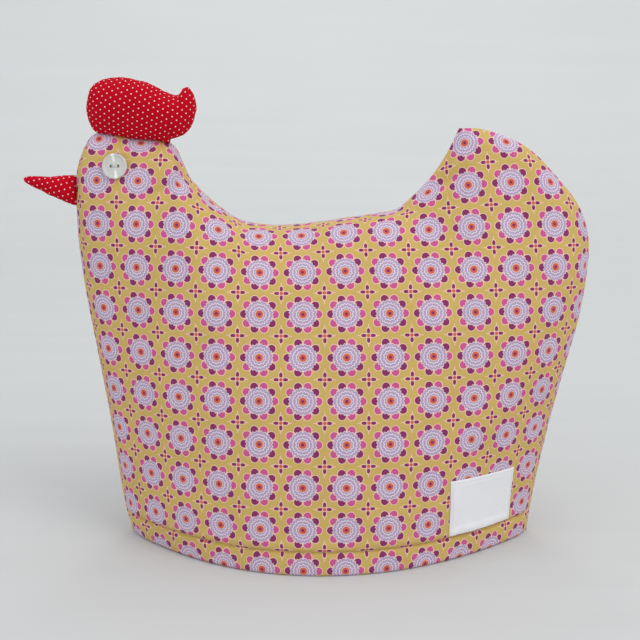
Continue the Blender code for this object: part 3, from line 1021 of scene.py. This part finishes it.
def flower_print(nodes, along, above):
    """A straight grid of round dahlia heads, with small crosses between them."""
    x, y = [(((place + start) * (1 / PRINT_PITCH)).do("FRACT") - 0.5) * PRINT_PITCH
            for place, start in zip((along, above), PRINT_START)]
    radius = nodes.length(x, y)
    turn = y.do("ARCTAN2", x) * (PETALS / (2 * math.pi))
    shifted = turn + (PETALS + 0.5)
    odd = (shifted.do("FLOOR") * 0.5).do("FRACT").above(0.25)
    beside = (shifted.do("FRACT") - 0.5) * radius * (2 * math.pi / PETALS)
    petal = nodes.length(beside * (1 / 2.5), (radius - PETALS_OUT) * (1 / 2.2))
    zigzag = (turn + PETALS).do("PINGPONG", 0.5)
    fine_zigzag = (turn * 2 + 2 * PETALS).do("PINGPONG", 0.5)
    rim = fine_zigzag * 1.9 + 7.0
    far_x, far_y = [abs(abs(place) - PRINT_PITCH / 2) for place in (x, y)]
    heart = nodes.length(far_x, far_y)
    arm = far_x.do("MAXIMUM", far_y)
    slim = far_x.do("MINIMUM", far_y)
    drop = nodes.length(slim * (1 / 1.05), (arm - 2.6) * (1 / 1.7))

    made = MUSTARD
    for share, tone in (
            (petal.below(1.10, 0.07), PALE),
            (petal.below(0.93, 0.07), nodes.mix(odd, MAGENTA, PLUM)),
            (radius.below(rim + 0.35), NEAR_WHITE),
            (radius.below(rim), LAVENDER),
            (radius.near(fine_zigzag * 1.8 + 5.3, 0.27), NEAR_WHITE),
            (radius.near(zigzag * 1.3 + 3.5, 0.25), NEAR_WHITE),
            (radius.below(2.6), PALE),
            (radius.below(2.25), CORAL),
            (radius.below(0.95), PLUM),
            (slim.below(0.2) * arm.below(6.4), PALE),
            (drop.below(1.3, 0.14), PALE),
            (drop.below(0.95, 0.14), PLUM),
            (heart.below(1.35), PALE),
            (heart.below(1.05), CORAL)):
        made = nodes.mix(share, made, tone)
    return made


def cream(nodes, along, above):
    """Plain cream, a little uneven."""
    share = nodes.range(nodes.noise(nodes.vector(along, above), 0.08), 0.0, 0.35)
    return nodes.mix(share, CREAM, NEAR_WHITE)


def pin_dots(nodes, along, above):
    """Red with pin dots in slanting rows."""
    (row_x, row_z), (next_x, next_z) = DOT_STEPS
    size = row_x * next_z - next_x * row_z
    in_row, in_next = [
        (along * (x_share / size) + above * (z_share / size) + 100.0).do("FRACT") - 0.5
        for x_share, z_share in ((next_z, -next_x), (-row_z, row_x))]
    from_dot = nodes.length(in_row * row_x + in_next * next_x, in_row * row_z + in_next * next_z)
    blur = nodes.range(nodes.noise(nodes.vector(along, above), 1.4), -0.05, 0.05)
    return nodes.mix((from_dot + blur).below(DOT_RADIUS, 0.14), RED, DOT)


def cotton(name, paint, pitch, coat, sheen=0.06, gloss=0.25):
    """A painted cotton: its weave, with painted shade between its threads and painted light on their
    crowns, uneven dye, and light rubbing along its seams.
    """
    nodes = Nodes(name)
    along, above, away = nodes.parts(nodes.attribute("cloth"))
    place = nodes.vector(along, above)
    threads = (nodes.noise(nodes.vector(along * 4.0, above * 0.25), 0.55)
               + nodes.noise(nodes.vector(along * 0.25, above * 4.0), 0.55)) * 0.5
    height = nodes.weave(along, above, pitch)
    # Painted shade and light: (height - 0.6) * 0.10 darkens the colour between the weave's threads
    # and lightens it on their crowns.
    brightness = (nodes.range(nodes.noise(place, 0.035, 3.0), -0.035, 0.035)
                  + nodes.range(threads, 0.955, 1.045)
                  + (height - 0.6) * 0.10 + away.below(1.2, 1.6) * 0.06)
    nodes.set(Base_Color=nodes.tint(paint(nodes, along, above), brightness),
              Roughness=nodes.range(nodes.noise(place, 0.2), coat, coat + 0.08),
              Sheen_Weight=sheen, Sheen_Roughness=0.5, Specular_IOR_Level=gloss)
    nodes.bump(height * 0.7 + threads * 0.8, 0.12)
    return nodes.material


def pearl_material():
    """Mother-of-pearl: cool and warm clouds, growth bands, a painted highlight streak up and down
    its face, and a sheen that runs round.
    """
    nodes = Nodes("pearl")
    x, y, z = nodes.parts(nodes.attribute("face"))
    cloud = nodes.noise(nodes.vector(x * 0.5, y * 0.16, z), 0.5, 3.0)
    bands = nodes.noise(nodes.vector(x * 0.35, y * 1.6, z), 0.7)
    base = nodes.mix(nodes.range(cloud, 0.0, 1.0), colour(200, 195, 186), colour(192, 197, 196))
    base = nodes.mix(nodes.range(bands, 0.0, 0.4), base, colour(214, 207, 202))
    # Painted highlight: a pale streak up and down through the face, fading in away from its middle,
    # mixed into the base colour.
    painted_highlight = (x + y * 0.17).near(0.0, abs(y) * 0.14 + 0.1, 0.9) * abs(y).above(2.0, 2.0)
    nodes.set(Base_Color=nodes.mix(painted_highlight * 0.8, base, colour(244, 246, 242)),
              Roughness=nodes.range(bands, 0.24, 0.34),
              Anisotropic=0.85, Tangent=nodes.attribute("grain"),
              Coat_Weight=0.4, Coat_Roughness=0.12, Specular_IOR_Level=0.6,
              Subsurface_Weight=0.15, Subsurface_Radius=(0.002, 0.0018, 0.0015),
              Subsurface_Scale=1.0)
    nodes.bump(nodes.noise(nodes.vector(x, y * 3.0, z), 1.2, 3.0), 0.05)
    return nodes.material


def satin_material():
    """White woven label tape, with fine ribs painted lighter on their crowns, and slightly darker
    edges.
    """
    nodes = Nodes("satin")
    along, above, away = nodes.parts(nodes.attribute("cloth"))
    ribs = abs((above * (math.pi / 0.34)).do("SINE"))
    floats = nodes.noise(nodes.vector(along * 0.6, above * 5.0), 0.8)
    # Painted light: ribs * 0.02 lightens the rib crowns; the colour is also a little darker within
    # about half a millimetre of the edges.
    brightness = nodes.range(floats, 0.965, 1.02) + ribs * 0.02 + away.below(0.5, 0.8) * -0.05
    nodes.set(Base_Color=nodes.tint(colour(238, 237, 240), brightness),
              Roughness=nodes.range(floats, 0.46, 0.58), Sheen_Weight=0.1)
    nodes.bump(ribs + floats, 0.05)
    return nodes.material


def thread_material(name, base):
    """Two-ply thread: the plies wind round it, with painted shade in the grooves between them."""
    nodes = Nodes(name)
    run, around, _ = nodes.parts(nodes.attribute("thread"))
    ply = (run * (2 * math.pi / 0.7) + around * (4 * math.pi)).do("SINE")
    share = ply * 0.5 + 0.5
    # Painted shade: the colour is darker in the grooves between the plies and lighter on their
    # crowns.
    nodes.set(Base_Color=nodes.tint(base, share * 0.14 + 0.88),
              Roughness=share * 0.1 + 0.55, Sheen_Weight=0.15)
    nodes.bump(share, 0.06)
    return nodes.material


def floor_material():
    """Pale paint, nearly plain, with a hint of streaks."""
    nodes = Nodes("floor_paint")
    place = nodes.add("TexCoord", "Object", {})
    x, y, _ = nodes.parts(place)
    streaks = nodes.noise(nodes.vector(x * 3.0, y * 40.0), 1.0, 4.0)
    shade = nodes.range(streaks, 0.985, 1.01) + nodes.range(nodes.noise(place, 2.5), -0.015, 0.015)
    nodes.set(Base_Color=nodes.tint(colour(205, 206, 205), shade), Roughness=0.7)
    nodes.bump(streaks, 0.4, 0.4)
    return nodes.material


# Putting it together

PRINT = cotton("print_cotton", flower_print, 0.42, 0.80)
LINING = cotton("lining_cotton", cream, 0.5, 0.84)
RED_COTTON = cotton("red_cotton", pin_dots, 0.36, 0.78, sheen=0.0, gloss=0.1)
PEARL = pearl_material()
SATIN = satin_material()
HEM_THREAD = thread_material("hem_thread", colour(214, 186, 104))
WHITE_THREAD = thread_material("white_thread", colour(240, 238, 234))

FLAT_PANEL = flat_panel()

skins = {}
for side, end in ((-1, "near"), (1, "far")):
    panel, outside, along, above = add_panel(f"panel_{end}_cloth", side, FLAT_PANEL, PRINT, LINING)
    finish_piece(panel, "print_cotton", f"panel_{end}")
    stitches = add_thread(f"hem_stitches_{end}", hem_stitch_paths(outside, along, above),
                          HEM_THREAD_WIDTH, HEM_THREAD)
    finish_piece(stitches, "print_cotton")
    skins[end] = skin_of(panel)
    button, thread = add_button(f"eye_button_{end}_shell", skins[end], side, PEARL, WHITE_THREAD)
    finish_piece(button, "pearl", f"eye_button_{end}")
    finish_piece(thread, "satin")

comb = finish_piece(add_comb(RED_COTTON), "red_cotton", "comb")
beak = finish_piece(add_beak(RED_COTTON), "red_cotton", "beak")

label, label_stitches = add_label(skins["near"], SATIN, WHITE_THREAD)
finish_piece(label, "satin", "label")
finish_piece(label_stitches, "satin")


# Floor and backdrop in one sweep, light and camera

def add_stage(name, points, faces, look):
    mesh = bpy.data.meshes.new(name)
    mesh.from_pydata(points, [], faces)
    mesh.shade_smooth()
    mesh.materials.append(look)
    add_object(name, mesh)


def add_floor():
    """A floor that sweeps up behind the object, on a wide ground for the other sides."""
    look = floor_material()
    profile = [(-3.0, 0.0), (0.9, 0.0)]
    for degrees in range(6, 91, 6):
        turn = math.radians(degrees)
        profile.append((0.9 + 0.8 * math.sin(turn), 0.8 * (1 - math.cos(turn))))
    profile.append((1.7, 3.0))
    points = [(x, y, z) for y, z in profile for x in (-3.0, 3.0)]
    faces = [(2 * k, 2 * k + 1, 2 * k + 3, 2 * k + 2) for k in range(len(profile) - 1)]
    add_stage("floor", points, faces, look)
    corners = [(x * 15.0, y * 15.0, -0.001) for x, y in ((-1, -1), (1, -1), (1, 1), (-1, 1))]
    add_stage("ground", corners, [(0, 1, 2, 3)], look)


def add_light(name, place, target, size, power, tone=(1, 1, 1)):
    light = bpy.data.lights.new(name, "AREA")
    light.shape = "DISK"
    light.size = size
    light.energy = power
    light.color = tone
    made = add_object(name, light)
    made.location = place
    made.rotation_euler = (Vector(target) - Vector(place)).to_track_quat("-Z", "Y").to_euler()


add_floor()
add_light("window", (1.2, -1.1, 1.9), (0, 0, 0.1), 1.5, 16, (1.0, 0.99, 0.97))
add_light("bounce", (-1.4, -1.3, 0.9), (0, 0, 0.12), 1.4, 3, (0.97, 0.98, 1.0))
add_light("top", (0.0, 0.3, 1.9), (0, 0, 0.1), 1.8, 3)
add_light("backdrop", (0.0, 0.9, 1.5), (0, 1.6, 0.4), 0.5, 4)

scene = bpy.context.scene
world = bpy.data.worlds.new("daylight")
world.use_nodes = True
sky = world.node_tree.nodes["Background"].inputs
sky["Color"].default_value = (0.93, 0.96, 1.0, 1)
sky["Strength"].default_value = 0.85
scene.world = world
scene.view_settings.view_transform = "Standard"

camera = add_object("camera", bpy.data.cameras.new("camera"))
camera.location = (0.0071, -0.8233, 0.3409)
camera.rotation_euler = (math.radians(76), 0, 0)
camera.data.lens = 78.75
camera.data.sensor_width = 36
scene.camera = camera
